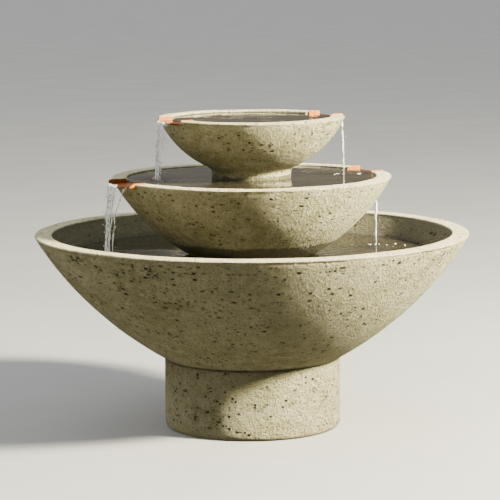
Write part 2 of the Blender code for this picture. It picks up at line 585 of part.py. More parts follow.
make_pedestal()
make_lower_bowl()
make_middle_bowl()
make_upper_bowl()
make_risers()
make_shims()
make_cord_stopper()
make_spout("middle_spout_left", SPOUT_AZIMUTH + math.pi, MIDDLE_TOP, MIDDLE_LEFT_SPAN)
make_spout("middle_spout_right", SPOUT_AZIMUTH, MIDDLE_TOP, MIDDLE_RIGHT_SPAN)
make_spout("upper_spout_left", SPOUT_AZIMUTH + math.pi, UPPER_TOP, UPPER_LEFT_SPAN)
make_spout("upper_spout_right", SPOUT_AZIMUTH, UPPER_TOP, UPPER_RIGHT_SPAN)
make_outlet_adapter()
make_hose_and_pipe()
make_clamp("lower", PUMP_AXIS_Z + 0.0665)
make_clamp("upper", 0.542)
make_grommet()
make_bulkhead()
make_pump_body()
make_motor()
make_rotor()
make_volute_cover()
make_intake()
make_feet()
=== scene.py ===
"""Looks of the tiered water fountain: cast stone, copper, moving water and the hidden pump.

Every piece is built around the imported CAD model, in metres, +Z up, with the front at -Y.
"""

import json
import math
import random
from collections import namedtuple

import bpy
import numpy as np
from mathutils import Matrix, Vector, noise


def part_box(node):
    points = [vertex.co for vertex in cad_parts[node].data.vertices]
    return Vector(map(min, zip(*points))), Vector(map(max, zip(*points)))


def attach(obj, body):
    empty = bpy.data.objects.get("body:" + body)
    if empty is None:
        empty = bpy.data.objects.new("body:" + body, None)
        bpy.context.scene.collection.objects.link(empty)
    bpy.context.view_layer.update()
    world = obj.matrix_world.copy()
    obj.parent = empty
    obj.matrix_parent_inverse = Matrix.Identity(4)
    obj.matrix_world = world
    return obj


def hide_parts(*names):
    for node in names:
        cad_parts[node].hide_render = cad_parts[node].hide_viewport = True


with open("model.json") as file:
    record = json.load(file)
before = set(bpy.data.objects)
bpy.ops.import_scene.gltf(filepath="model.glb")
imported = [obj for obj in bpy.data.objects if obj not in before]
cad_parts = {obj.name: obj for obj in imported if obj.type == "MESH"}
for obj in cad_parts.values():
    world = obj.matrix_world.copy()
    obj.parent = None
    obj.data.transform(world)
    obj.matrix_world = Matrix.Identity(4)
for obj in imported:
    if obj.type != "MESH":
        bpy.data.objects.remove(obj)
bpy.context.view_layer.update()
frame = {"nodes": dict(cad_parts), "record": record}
ROOT = "fountain"

# ---------------------------------------------------------------- driving dimensions

LOWER_LOW, LOWER_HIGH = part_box("lower_bowl")
MIDDLE_LOW, MIDDLE_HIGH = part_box("middle_bowl")
UPPER_LOW, UPPER_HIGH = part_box("upper_bowl")
_, PEDESTAL_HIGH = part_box("pedestal")
LOWER_RISER_LOW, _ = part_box("lower_riser")
UPPER_RISER_LOW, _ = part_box("upper_riser")

LOWER_R, LOWER_TOP = LOWER_HIGH.x, LOWER_HIGH.z
MIDDLE_R, MIDDLE_TOP = MIDDLE_HIGH.x, MIDDLE_HIGH.z
UPPER_R, UPPER_TOP = UPPER_HIGH.x, UPPER_HIGH.z
LOWER_FLOOR = LOWER_RISER_LOW.z - 0.0003
MIDDLE_FLOOR = UPPER_RISER_LOW.z - 0.0003
UPPER_FLOOR = 0.716
LOWER_WATER = LOWER_TOP - 0.058
MIDDLE_WATER = MIDDLE_TOP - 0.0045
UPPER_WATER = UPPER_TOP - 0.0055
EDGE = 0.0040         # rounding of the rims
GRAVITY = 9.81

SPOUT_AZIMUTH = math.radians(26)
SPOUT_W, SPOUT_SHEET, SPOUT_FOLD = 0.135, 0.003, 0.004
SPOUT_PROUD, SPOUT_DEPTH = 0.0025, 0.0085
LEFT, RIGHT = SPOUT_AZIMUTH + math.pi, SPOUT_AZIMUTH
# name: direction, rim height, inner end and lip as distances from the axis
SPOUTS = {
    "middle_spout_left": (LEFT, MIDDLE_TOP, 0.328, 0.3775),
    "middle_spout_right": (RIGHT, MIDDLE_TOP, 0.321, 0.361),
    "upper_spout_left": (LEFT, UPPER_TOP, 0.196, 0.236),
    "upper_spout_right": (RIGHT, UPPER_TOP, 0.204, 0.237),
}
# how far the front wall of a spout is cut back at the lip
CUT_BACK = {"middle_spout_left": 0.012, "upper_spout_left": 0.007}

# ---------------------------------------------------------------- small helpers


def arc(start, end, bulge, count):
    """Points of a circular arc; a positive bulge swells to the right of the way to the end."""
    (x0, y0), (x1, y1) = start, end
    half = math.hypot(x1 - x0, y1 - y0) / 2
    sign = 1 if bulge > 0 else -1
    radius = (half * half + bulge * bulge) / (2 * abs(bulge))
    side = ((y1 - y0) / (2 * half), (x0 - x1) / (2 * half))
    offset = sign * (radius - abs(bulge))
    centre = ((x0 + x1) / 2 - side[0] * offset, (y0 + y1) / 2 - side[1] * offset)
    first = math.atan2(y0 - centre[1], x0 - centre[0])
    sweep = 2 * math.asin(half / radius) * sign
    angles = [first + sweep * i / (count - 1) for i in range(count)]
    return [(centre[0] + radius * math.cos(a), centre[1] + radius * math.sin(a)) for a in angles]


def line(start, end, count):
    dx, dy = end[0] - start[0], end[1] - start[1]
    return [(start[0] + dx * i / (count - 1), start[1] + dy * i / (count - 1))
            for i in range(count)]


def mesh_object(name, points, faces, smooth=True, sharp=None):
    mesh = bpy.data.meshes.new(name)
    mesh.from_pydata([tuple(p) for p in points], [], faces)
    mesh.validate()
    if smooth:
        mesh.shade_smooth()
    if sharp is not None:
        mesh.set_sharp_from_angle(angle=math.radians(sharp))
    obj = bpy.data.objects.new(name, mesh)
    bpy.context.scene.collection.objects.link(obj)
    return obj


def point_attribute(obj, name, values):
    layer = obj.data.attributes.new(name, "FLOAT", "POINT")
    layer.data.foreach_set("value", np.asarray(values, np.float32))


def finish_piece(obj, mat, body, *nodes):
    obj.data.materials.clear()
    obj.data.materials.append(mat)
    if nodes:
        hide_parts(*nodes)
    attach(obj, body)
    return obj


# ---------------------------------------------------------------- materials

SPAN_SOCKETS = ("From Min", "From Max", "To Min", "To Max")


class Shader:
    """A Principled material with a few short calls for building its nodes."""

    def __init__(self, name, **settings):
        self.mat = bpy.data.materials.new(name + "_look")
        self.mat.use_nodes = True
        self.tree = self.mat.node_tree
        self.out = self.tree.nodes["Principled BSDF"]
        for socket, value in settings.items():
            self.out.inputs[socket.replace("_", " ")].default_value = value
        self.where = self.node("ShaderNodeTexCoord").outputs["Object"]

    def node(self, kind, **props):
        made = self.tree.nodes.new(kind)
        for name, value in props.items():
            setattr(made, name, value)
        return made

    def feed(self, socket, value):
        if isinstance(value, bpy.types.NodeSocket):
            self.tree.links.new(value, socket)
        else:
            socket.default_value = value

    def stretch(self, scale):
        mapping = self.node("ShaderNodeMapping")
        self.feed(mapping.inputs["Vector"], self.where)
        mapping.inputs["Scale"].default_value = scale
        return mapping.outputs["Vector"]

    def noise(self, scale, detail=4.0, rough=0.55, vector=None, distortion=0.0):
        made = self.node("ShaderNodeTexNoise")
        self.feed(made.inputs["Vector"], vector or self.where)
        made.inputs["Scale"].default_value = scale
        made.inputs["Detail"].default_value = detail
        made.inputs["Roughness"].default_value = rough
        made.inputs["Distortion"].default_value = distortion
        return made.outputs["Fac"]

    def cells(self, scale):
        made = self.node("ShaderNodeTexVoronoi")
        self.feed(made.inputs["Vector"], self.where)
        made.inputs["Scale"].default_value = scale
        return made.outputs["Distance"]

    def specks(self, scale, share, radius, vector=None):
        """Round spots in a share of the cells, each with its own size."""
        made = self.node("ShaderNodeTexVoronoi")
        self.feed(made.inputs["Vector"], vector or self.where)
        made.inputs["Scale"].default_value = scale
        split = self.node("ShaderNodeSeparateColor")
        self.feed(split.inputs[0], made.outputs["Color"])
        there = self.math("LESS_THAN", split.outputs["Red"], share)
        reach = self.math("MULTIPLY", split.outputs["Green"], radius)
        beyond = self.math("SUBTRACT", made.outputs["Distance"], reach)
        inside = self.span(beyond, -0.06, 0.05, 1.0, 0.0, smooth=True)
        return self.math("MULTIPLY", inside, there, clamp=True)

    def span(self, value, low, high, to_low=0.0, to_high=1.0, smooth=False):
        kind = "SMOOTHSTEP" if smooth else "LINEAR"
        made = self.node("ShaderNodeMapRange", interpolation_type=kind)
        self.feed(made.inputs["Value"], value)
        for name, number in zip(SPAN_SOCKETS, (low, high, to_low, to_high)):
            self.feed(made.inputs[name], number)
        return made.outputs["Result"]

    def math(self, operation, a, b=0.0, clamp=False):
        made = self.node("ShaderNodeMath", operation=operation, use_clamp=clamp)
        self.feed(made.inputs[0], a)
        self.feed(made.inputs[1], b)
        return made.outputs[0]

    def mix(self, factor, a, b, blend="MIX"):
        made = self.node("ShaderNodeMix", data_type="RGBA", blend_type=blend)
        self.feed(made.inputs["Factor"], factor)
        for socket, value in ((made.inputs["A"], a), (made.inputs["B"], b)):
            self.feed(socket, value if isinstance(value, bpy.types.NodeSocket) else (*value, 1.0))
        return made.outputs["Result"]

    def attribute(self, name):
        return self.node("ShaderNodeAttribute", attribute_name=name).outputs["Fac"]

    def height(self):
        split = self.node("ShaderNodeSeparateXYZ")
        self.feed(split.inputs[0], self.where)
        return split.outputs["Z"]

    def bump(self, height, distance, strength=1.0):
        made = self.node("ShaderNodeBump")
        made.inputs["Strength"].default_value = strength
        made.inputs["Distance"].default_value = distance
        self.feed(made.inputs["Height"], height)
        return made.outputs["Normal"]

    def set(self, socket, value):
        self.feed(self.out.inputs[socket], value)


PALE, MID, OLIVE = (0.66, 0.61, 0.38), (0.51, 0.47, 0.26), (0.35, 0.325, 0.155)
BROWN, FOOT_DARK, GRAIN_SHADE = (0.32, 0.25, 0.13), (0.30, 0.235, 0.10), (0.17, 0.148, 0.078)
WORN, SAND, PIT_SHADE = (0.58, 0.535, 0.345), (0.78, 0.73, 0.52), (0.046, 0.039, 0.023)
DAMP_AND_SHADE, WET = (0.150, 0.136, 0.073), (0.075, 0.065, 0.030)
TARNISH = (0.40, 0.15, 0.07)


def cast_stone(name, inner_water=None, outer_water=None, tone=1.0, foot_darkening=0.0):
    """Olive-cream cast stone: cloudy tone, sandy grain with painted shade in its hollows, small
    voids and pits darkened with painted shade, paler worn rims, insides darkened partly by damp and
    partly with painted shade, a dark soaked band above the water on each side of the wall, and
    optionally darker towards the bottom."""
    s = Shader(name, Specular_IOR_Level=0.35)
    layered = s.stretch((1.0, 1.0, 1.5))
    clouds = s.noise(4.5, 5, 0.6, layered, 0.4)
    mottle = s.noise(30, 7, 0.7, layered, 0.2)
    stain = s.noise(10, 6, 0.7, layered, 0.8)
    grain = s.noise(190, 5, 0.75)
    lumps = s.noise(120, 3, 0.6)
    sand = s.noise(620, 3, 0.6)

    colour = s.mix(s.span(clouds, 0.38, 0.64, smooth=True), MID, OLIVE)
    colour = s.mix(s.span(mottle, 0.43, 0.68), colour, PALE)
    colour = s.mix(s.math("MULTIPLY", s.span(stain, 0.55, 0.76, smooth=True), 0.5), colour, BROWN)
    rim = s.attribute("rim")
    colour = s.mix(s.math("MULTIPLY", rim, s.span(mottle, 0.25, 0.6, 0.25, 0.7)), colour, WORN)
    # Painted shade: the low spots of the grain and the lumps are darkened, as if shaded in the
    # hollows of the relief.
    colour = s.mix(s.math("MULTIPLY", s.span(grain, 0.38, 0.48, 1.0, 0.0), 0.55), colour, GRAIN_SHADE)
    colour = s.mix(s.math("MULTIPLY", s.span(lumps, 0.36, 0.44, 1.0, 0.0), 0.3), colour, GRAIN_SHADE)
    colour = s.mix(s.math("MULTIPLY", s.span(sand, 0.54, 0.68), 0.45), colour, SAND)
    # Darker towards the bottom, with a ragged upper edge.
    if foot_darkening:
        uneven = s.math("ADD", s.height(), s.math("MULTIPLY", stain, 0.03))
        colour = s.mix(s.span(uneven, 0.012, 0.045, foot_darkening, 0.0), colour, FOOT_DARK)

    patchy = s.span(s.noise(24, 3, 0.6, layered), 0.38, 0.58, 0.15, 1.0)
    voids = s.specks(300, 0.40, 0.42, layered)
    for scale, share, radius in ((170, 0.34, 0.42), (95, 0.28, 0.36), (58, 0.16, 0.30)):
        voids = s.math("MAXIMUM", voids, s.specks(scale, share, radius, layered))
    voids = s.math("MULTIPLY", voids, patchy)
    # Painted shade: small voids and pits are darkened, as if shaded inside the holes.
    hollow = s.math("MAXIMUM", s.math("MULTIPLY", voids, 0.9), s.attribute("pit"))
    inner = s.attribute("inner")
    # The inside of each bowl is darkened: partly real damp, partly painted shade.
    damp_and_shade = s.math("MULTIPLY", inner, s.span(mottle, 0.3, 0.7, 0.96, 0.84))
    colour = s.mix(damp_and_shade, colour, DAMP_AND_SHADE)
    colour = s.mix(s.math("MULTIPLY", hollow, 0.92), colour, PIT_SHADE)

    rough = s.span(mottle, 0.3, 0.7, 0.82, 0.95)
    ragged = s.math("MULTIPLY", s.math("SUBTRACT", s.noise(26, 4, 0.6), 0.5), 0.02)
    ragged = s.math("ADD", s.height(), ragged)
    for level, side in ((inner_water, inner), (outer_water, s.math("SUBTRACT", 1.0, inner))):
        if level is not None:
            wet = s.span(ragged, level - 0.003, level + 0.003, 1.0, 0.0, smooth=True)
            wet = s.math("MULTIPLY", wet, side)
            colour = s.mix(s.math("MULTIPLY", wet, 0.75), colour, WET)
            rough = s.mix(wet, rough, (0.30, 0.30, 0.30))
    if tone != 1.0:
        colour = s.mix(1.0, colour, (tone, tone, tone), "MULTIPLY")
    s.set("Base Color", colour)
    s.set("Roughness", rough)

    relief = s.math("ADD", s.math("MULTIPLY", grain, 0.8), s.math("MULTIPLY", lumps, 1.2))
    relief = s.math("ADD", relief, s.math("MULTIPLY", sand, 0.25))
    relief = s.math("SUBTRACT", relief, s.math("MULTIPLY", voids, 0.9))
    calm = s.math("SUBTRACT", 1.0, s.math("MULTIPLY", rim, 0.45))
    s.set("Normal", s.bump(s.math("MULTIPLY", relief, calm), 0.0120, 1.0))
    return s.mat


def copper(name, colour, dark, roughness):
    """Sheet copper with handling marks, faint tarnish and drawn lines."""
    s = Shader(name, Metallic=1.0)
    tarnish = s.noise(60, 6, 0.65, distortion=0.6)
    lines = s.noise(180, 4, 0.6, s.stretch((1.0, 1.0, 14.0)))
    blotch = s.noise(22, 4, 0.6)
    mixed = s.mix(s.span(tarnish, 0.42, 0.68), colour, dark)
    s.set("Base Color", s.mix(s.math("MULTIPLY", s.span(blotch, 0.5, 0.72), 0.5), mixed, TARNISH))
    drawn = s.math("ADD", tarnish, s.math("MULTIPLY", lines, 0.4))
    s.set("Roughness", s.span(drawn, 0.5, 0.95, *roughness))
    s.set("Normal", s.bump(s.math("ADD", lines, blotch), 0.0006, 0.5))
    return s.mat


def still_water(name, deep=(0.014, 0.012, 0.007), shallow=(0.030, 0.026, 0.016), index=1.333):
    """Pooled water: dark below, a mirror above."""
    s = Shader(name, IOR=index, Specular_IOR_Level=0.5)
    murk = s.noise(9, 4, 0.6)
    s.set("Base Color", s.mix(s.span(murk, 0.35, 0.65), deep, shallow))
    s.set("Roughness", s.span(s.noise(14, 2, 0.5), 0.3, 0.7, 0.015, 0.05))
    s.set("Normal", s.bump(s.noise(45, 2, 0.5), 0.0006, 0.3))
    return s.mat


def falling_water(name):
    """Broken falling water: clear strands with white streaks, partly caught air and partly painted
    highlight.
    """
    s = Shader(name, IOR=1.333)
    streak = s.noise(130, 4, 0.65, s.stretch((1.0, 1.0, 0.16)))
    # Whiter, more opaque streaks: partly caught air, partly painted highlight.
    s.set("Transmission Weight", s.span(streak, 0.37, 0.50, 0.75, 0.0))
    s.set("Base Color", s.mix(s.span(streak, 0.42, 0.58), (0.80, 0.82, 0.80), (1.0, 1.0, 1.0)))
    s.set("Roughness", s.span(streak, 0.35, 0.65, 0.04, 0.25))
    s.set("Normal", s.bump(streak, 0.003, 0.6))
    return s.mat


def moulded(name, base, rough, fleck=0.12, bumpiness=0.0003, **settings):
    """Moulded plastic or rubber: fine surface texture and a faint change of tone."""
    s = Shader(name, **settings)
    tone = s.noise(35, 4, 0.6)
    fine = s.noise(900, 2, 0.5)
    darker = tuple(c * (1 - 2 * fleck) for c in base)
    lighter = tuple(min(1.0, c * (1 + 2 * fleck) + 0.01) for c in base)
    s.set("Base Color", s.mix(s.span(tone, 0.35, 0.65), darker, lighter))
    s.set("Roughness", s.span(s.math("ADD", tone, fine), 0.7, 1.3, rough - 0.08, rough + 0.08))
    s.set("Normal", s.bump(fine, bumpiness, 0.6))
    return s.mat


def metal(name, base, rough, along=(1.0, 1.0, 12.0)):
    s = Shader(name, Metallic=1.0)
    lines = s.noise(260, 3, 0.6, s.stretch(along))
    tone = s.noise(50, 4, 0.6)
    s.set("Base Color", s.mix(s.span(tone, 0.35, 0.65), tuple(c * 0.8 for c in base), base))
    s.set("Roughness", s.span(lines, 0.3, 0.7, rough - 0.08, rough + 0.1))
    s.set("Normal", s.bump(lines, 0.0002, 0.4))
    return s.mat


def foam(name):
    s = Shader(name, Roughness=0.95)
    pores = s.cells(520)
    s.set("Base Color", s.mix(s.span(pores, 0.1, 0.5), (0.01, 0.01, 0.012), (0.075, 0.075, 0.085)))
    s.set("Normal", s.bump(pores, 0.0012, 0.9))
    return s.mat


LOWER_STONE = cast_stone("lower_bowl_stone", inner_water=LOWER_WATER + 0.006)
MIDDLE_STONE = cast_stone("middle_bowl_stone", MIDDLE_WATER + 0.001, LOWER_WATER + 0.041, 1.08)
UPPER_STONE = cast_stone("upper_bowl_stone", UPPER_WATER + 0.001, MIDDLE_WATER + 0.008, 1.04)
PEDESTAL_STONE = cast_stone("pedestal_stone", tone=0.73, foot_darkening=0.55)
RISER_STONE = cast_stone("riser_stone", 0.9, 0.9, 0.8)
COPPER = copper("spout_copper", (0.40, 0.158, 0.038), (0.28, 0.100, 0.023), (0.46, 0.60))
WATER = still_water("still_water")
STREAM = falling_water("falling_water")
RUNNING = still_water("water_over_copper", (0.045, 0.014, 0.005), (0.085, 0.026, 0.009), 1.06)

# ---------------------------------------------------------------- turned stone with real pits

# One ring of points: radius, height, how much of the rim's wear it has, its share of the pits,
# whether it faces inward, how uneven it is, and how deep the worn groove is there.
Row = namedtuple("Row", "r z rim pits inner rough groove", defaults=(0.0, 0.0, 0.0, 1.0, 0.0))

WAVE_SCALE, SAND_SCALE = 5.5, 60.0           # per metre
PIT_CHANCE, CLUSTER_CHANCE, CLUSTER_SCALE = 0.16, 1.9, 13.0
WIDE_SHARE = 0.15                            # of the pits are two cells wide


def relief(point, amount, fine):
    """Slow waviness plus a sandy unevenness, both in metres."""
    slow = noise.fractal(point * WAVE_SCALE, 1.0, 2.0, 3)
    quick = noise.fractal(point * SAND_SCALE, 0.9, 2.1, 3)
    return amount * slow + fine * quick


def turned_stone(name, rows, segments, pits, seed, amount=0.0011, fine=0.0004):
    """Turns the rows about Z, makes the skin uneven, and sinks irregular pits into randomly chosen
    cells. The rows run from the floor up the inside, over the rim and down the outside."""
    rng = random.Random(seed)
    count = len(rows)
    profile = np.array([(row.r, row.z) for row in rows])
    along = np.roll(profile, -1, axis=0) - np.roll(profile, 1, axis=0)
    along /= np.maximum(np.linalg.norm(along, axis=1, keepdims=True), 1e-9)
    outward = np.stack([-along[:, 1], along[:, 0]], axis=1)
    points, rims, inners = [], [], []
    for i, row in enumerate(rows):
        for j in range(segments):
            turn = 2 * math.pi * j / segments
            cos, sin = math.cos(turn), math.sin(turn)
            spot = Vector((row.r * cos, row.r * sin, row.z))
            lift = relief(spot, amount, fine) * row.rough
            patch = abs(noise.noise(Vector((cos * 2.3, sin * 2.3, seed))))
            lift -= row.groove * (0.25 + 1.5 * patch)
            r = row.r + outward[i, 0] * lift
            points.append((r * cos, r * sin, row.z + outward[i, 1] * lift))
            rims.append(row.rim)
            inners.append(row.inner)
    # Painted shade for each point: none on the untouched skin, some at a pit's mouth, full at its
    # bottom.
    hollow = [0.0] * len(points)

    def at(i, j):
        return (i % count) * segments + (j % segments)

    weights = np.array([row.pits * row.r for row in rows])
    weights[:-1] = np.where(weights[:-1] * weights[1:] > 0, weights[:-1], 0.0)
    weights[-1] = 0.0
    total = weights.cumsum() / weights.sum()
    chosen = set()
    while len(chosen) < pits:
        cell = (int(np.searchsorted(total, rng.random())), rng.randrange(segments))
        x, y, z = points[at(*cell)]
        cluster = noise.noise(Vector((x, y, z * 2.0)) * CLUSTER_SCALE + Vector((seed, 0, 0)))
        if rng.random() < PIT_CHANCE + max(0.0, cluster) * CLUSTER_CHANCE:
            chosen.add(cell)

    wide = set()
    for i, j in sorted(chosen):
        beside = (i, (j + 1) % segments)
        if rng.random() < WIDE_SHARE and beside not in chosen and (i, j - 1) not in wide:
            wide.add((i, j))
    covered = {(i, (j + 1) % segments) for i, j in wide}

    skin = Skin(points, hollow, rims, inners)
    for i in range(count):
        for j in range(segments):
            corners = (at(i, j), at(i + 1, j), at(i + 1, j + 1), at(i, j + 1))
            if (i, j) in wide:
                far = (at(i, j), at(i + 1, j), at(i + 1, j + 2), at(i, j + 2))
                skin.sink_pit(far, rng, {0: corners[3], 2: corners[2]})
            elif (i, j) in chosen:
                skin.sink_pit(corners, rng)
            elif (i, j) not in covered:
                skin.faces.append(corners)
    obj = mesh_object(name, points, skin.faces, sharp=38)
    point_attribute(obj, "rim", rims)
    point_attribute(obj, "pit", hollow)
    point_attribute(obj, "inner", inners)
    return obj


class Skin:
    """The growing lists of a turned surface."""

    # the eight directions around a cell: a corner, the middle of the next side, and so on
    WAYS = [(-1, -1), (-1, 0), (-1, 1), (0, 1), (1, 1), (1, 0), (1, -1), (0, -1)]

    def __init__(self, points, hollow, rims, inners):
        self.points, self.hollow, self.rims, self.inners = points, hollow, rims, inners
        self.faces = []

    def add(self, point, dark, like):
        self.points.append(tuple(point))
        self.hollow.append(dark)
        self.rims.append(self.rims[like])
        self.inners.append(self.inners[like])
        return len(self.points) - 1

    def sink_pit(self, corners, rng, halfway=None):
        """Replaces one cell, or two side by side, with an irregular crater that narrows towards a
        bottom point. For two cells, halfway holds the points halfway along the two long sides."""
        quad = [Vector(self.points[c]) for c in corners]
        centre = sum(quad, Vector()) / 4
        rise = (quad[1] - quad[0] + quad[2] - quad[3]) / 2
        side = (quad[3] - quad[0] + quad[2] - quad[1]) / 2
        inward = -rise.cross(side).normalized()
        small = rng.random() < 0.6 and not halfway
        size = rng.uniform(0.24, 0.44) if small else rng.uniform(0.46, 0.86)
        deep = min(side.length, rise.length) * size * rng.uniform(0.6, 1.1)
        reach = [size * rng.uniform(0.7, 1.15) for _ in self.WAYS]
        stray = 0.5 * (1.0 - size)
        centre += side * rng.uniform(-stray, stray) + rise * rng.uniform(-stray, stray)
        tall, broad = rng.uniform(0.42, 0.78), 0.46 if halfway else 0.66
        # (share of the radius, share of the depth, painted shade)
        steps = ((1.0, 0.0, 0.45), (0.86, 0.5, 1.0), (0.55, 0.95, 1.0))
        if size < 0.42:
            steps = ((1.0, 0.0, 0.5), (0.75, 0.7, 1.0))
        rings = []
        for scale, depth, dark in steps:
            ring = []
            for (v, u), far in zip(self.WAYS, reach):
                length = far * scale * (0.72 if u and v else 1.0)
                spot = centre + side * (u * length * broad) + rise * (v * length * tall)
                spot += inward * deep * depth
                ring.append(self.add(spot, dark, corners[0]))
            rings.append(ring)
        bottom = self.add(centre + inward * deep * rng.uniform(0.95, 1.2), 1.0, corners[0])
        ringed = [corners[0], corners[3], corners[2], corners[1]]
        for k in range(4):
            here, after = ringed[k], ringed[(k + 1) % 4]
            first, middle, last = (rings[0][(2 * k + n) % 8] for n in range(3))
            if halfway and k in halfway:
                between = halfway[k]
                self.faces += [(here, first, middle, between), (between, middle, last, after)]
            else:
                self.faces += [(here, first, middle), (here, middle, after), (after, middle, last)]
        for upper, lower in zip(rings, rings[1:]):
            for k in range(8):
                after = (k + 1) % 8
                self.faces.append((upper[k], lower[k], lower[after], upper[after]))
        for k in range(8):
            self.faces.append((rings[-1][k], bottom, rings[-1][(k + 1) % 8]))


def rows_of(points, **marks):
    return [Row(r, z, **marks) for r, z in points]


def steps_for(length, spacing):
    return max(2, round(length / spacing) + 1)


def wall(start, end, bulge, spacing, **marks):
    length = math.hypot(end[0] - start[0], end[1] - start[1])
    return rows_of(arc(start, end, bulge, steps_for(length, spacing)), **marks)


def rim_rows(radius, top, width, pits, spacing=0.0072):
    """Over the rim from its inner edge to its outer edge, both rounded."""
    inside = radius - width
    swell = EDGE * (1 - math.sqrt(0.5))
    inner = arc((inside, top - EDGE), (inside + EDGE, top), -swell, 5)
    outer = arc((radius - EDGE, top), (radius, top - EDGE), -swell, 6)
    flat = line(inner[-1], outer[0], steps_for(width - 2 * EDGE, spacing))[1:-1]
    over = [Row(r, z, rim=rim) for (r, z), rim in zip(outer, (1.0, 1.0, 0.9, 0.6, 0.25, 0.0))]
    rows = rows_of(inner[:1], rim=0.2, inner=1.0) + rows_of(inner[1:], rim=1.0)
    return rows + rows_of(flat, rim=1.0, pits=pits) + over


def under_lip(start, end, bulge, spacing, pits, worn, fine=0.0016):
    """The outer wall, with a groove worn where it meets the rim's band."""
    length = math.hypot(end[0] - start[0], end[1] - start[1])
    points = arc(start, end, bulge, steps_for(length, fine))
    close = [(2, -0.0003), (4, 0.0026), (5, 0.0016)]      # point and depth of the groove there
    rows = [Row(*points[k], groove=groove * worn) for k, groove in close]
    skip = round(spacing / fine)
    for n, k in enumerate(range(8, len(points) - skip // 2, skip)):
        more = 1.0 + 1.6 * worn if n < 3 else 1.0
        rows.append(Row(*points[k], pits=pits * more))
    return rows + [Row(*points[-1])]


def bowl_rows(hole, floor, floor_r, inner_bulge, radius, top, width, shell_end, outer_bulge, pits,
              spacing, worn=0.25):
    """From the hole across the floor, up the inside, over the rim and down the shell to its end.
    The three shares of pits are for the inside, the rim and the outside."""
    inner_pits, rim_pits, outer_pits = pits
    rim = rim_rows(radius, top, width, rim_pits)
    floor_line = line((hole, floor), (floor_r, floor), steps_for(floor_r - hole, 0.012))
    rows = rows_of(floor_line[:-1], inner=1.0)
    inside = wall((floor_r, floor), rim[0][:2], inner_bulge, spacing * 1.25, pits=inner_pits,
                  inner=1.0)
    outside = under_lip(rim[-1][:2], shell_end, -outer_bulge, spacing, outer_pits, worn)
    return rows + inside[:-1] + rim + outside


def foot_rows(shell_end, foot_r, drop, bottom, recess_r, recess_top, hole, pits=0.6):
    """Down the foot from the end of the shell, then up into the recess under it, to the hole."""
    fillet = arc(shell_end, (foot_r, shell_end[1] - drop), 0.2 * drop, 6)
    side = line(fillet[-1], (foot_r, bottom), steps_for(fillet[-1][1] - bottom, 0.007))
    under = line(side[-1], (recess_r, bottom), 5)
    up = line(under[-1], (recess_r, recess_top), 3)
    roof = line(up[-1], (hole, recess_top), 6)
    hidden = rows_of(under[:-1] + up[:-1] + roof, rough=0.0)
    return rows_of(fillet[1:] + side[1:-1], pits=pits) + hidden


def make_lower_bowl():
    seat, seat_r, hole = LOWER_LOW.z, 0.231, 0.004
    shell_end = (seat_r + 0.004, seat + 0.003)
    rows = bowl_rows(hole, LOWER_FLOOR, floor_r=0.212, inner_bulge=0.031, radius=LOWER_R,
                     top=LOWER_TOP, width=0.045, shell_end=shell_end, outer_bulge=0.0303,
                     pits=(0.35, 0.28, 1.0), spacing=0.0092, worn=1.0)
    rows += rows_of(line((seat_r, seat), (hole, seat), 12), rough=0.0)
    bowl = turned_stone("lower_bowl_cast", rows, segments=280, pits=1450, seed=3)
    finish_piece(bowl, LOWER_STONE, ROOT, "lower_bowl")


def make_middle_bowl():
    shell_end, hole = (0.168, 0.460), 0.0174
    rows = bowl_rows(hole, MIDDLE_FLOOR, floor_r=0.140, inner_bulge=0.013, radius=MIDDLE_R,
                     top=MIDDLE_TOP, width=0.0405, shell_end=shell_end, outer_bulge=0.0195,
                     pits=(0.2, 0.3, 1.0), spacing=0.0086)
    rows += foot_rows(shell_end, foot_r=0.150, drop=0.013, bottom=MIDDLE_LOW.z, recess_r=0.105,
                      recess_top=0.438, hole=hole)
    bowl = turned_stone("middle_bowl_cast", rows, segments=204, pits=400, seed=11)
    cut_notches(bowl, MIDDLE_R, MIDDLE_TOP)
    finish_piece(bowl, MIDDLE_STONE, ROOT, "middle_bowl")


def make_upper_bowl():
    shell_end, hole = (0.128, 0.694), 0.0126
    rows = bowl_rows(hole, UPPER_FLOOR, floor_r=0.085, inner_bulge=0.010, radius=UPPER_R,
                     top=UPPER_TOP, width=0.0365, shell_end=shell_end, outer_bulge=0.013,
                     pits=(0.2, 0.3, 1.0), spacing=0.0078)
    rows += foot_rows(shell_end, foot_r=0.104, drop=0.017, bottom=UPPER_LOW.z, recess_r=0.068,
                      recess_top=0.688, hole=hole)
    bowl = turned_stone("upper_bowl_cast", rows, segments=156, pits=250, seed=23)
    cut_notches(bowl, UPPER_R, UPPER_TOP)
    finish_piece(bowl, UPPER_STONE, ROOT, "upper_bowl")


def make_pedestal():
    radius, top = PEDESTAL_HIGH.x, PEDESTAL_HIGH.z
    inner, foot, chamfer = radius - 0.043, 0.013, 0.003
    swell = foot * (1 - math.sqrt(0.5))
    side = line((radius, top - chamfer), (radius, foot), steps_for(top - foot, 0.0082))
    rounded = arc((radius, foot), (radius - foot, 0.0), -swell, 6)
    rows = rows_of(line((inner + 0.004, top), (radius - chamfer, top), 6), rim=0.3)
    rows += rows_of(side, pits=1.0) + rows_of(rounded[1:], rough=0.5)
    rows += rows_of(line((radius - foot, 0.0), (inner, 0.0), 5)[1:], rough=0.0)
    rows += rows_of(line((inner, 0.0), (inner, top - 0.004), 12)[1:], rough=0.0)
    pedestal = turned_stone("pedestal_cast", rows, segments=176, pits=300, seed=31)
    cut_arch(pedestal, inner, radius)
    finish_piece(pedestal, PEDESTAL_STONE, ROOT, "pedestal")


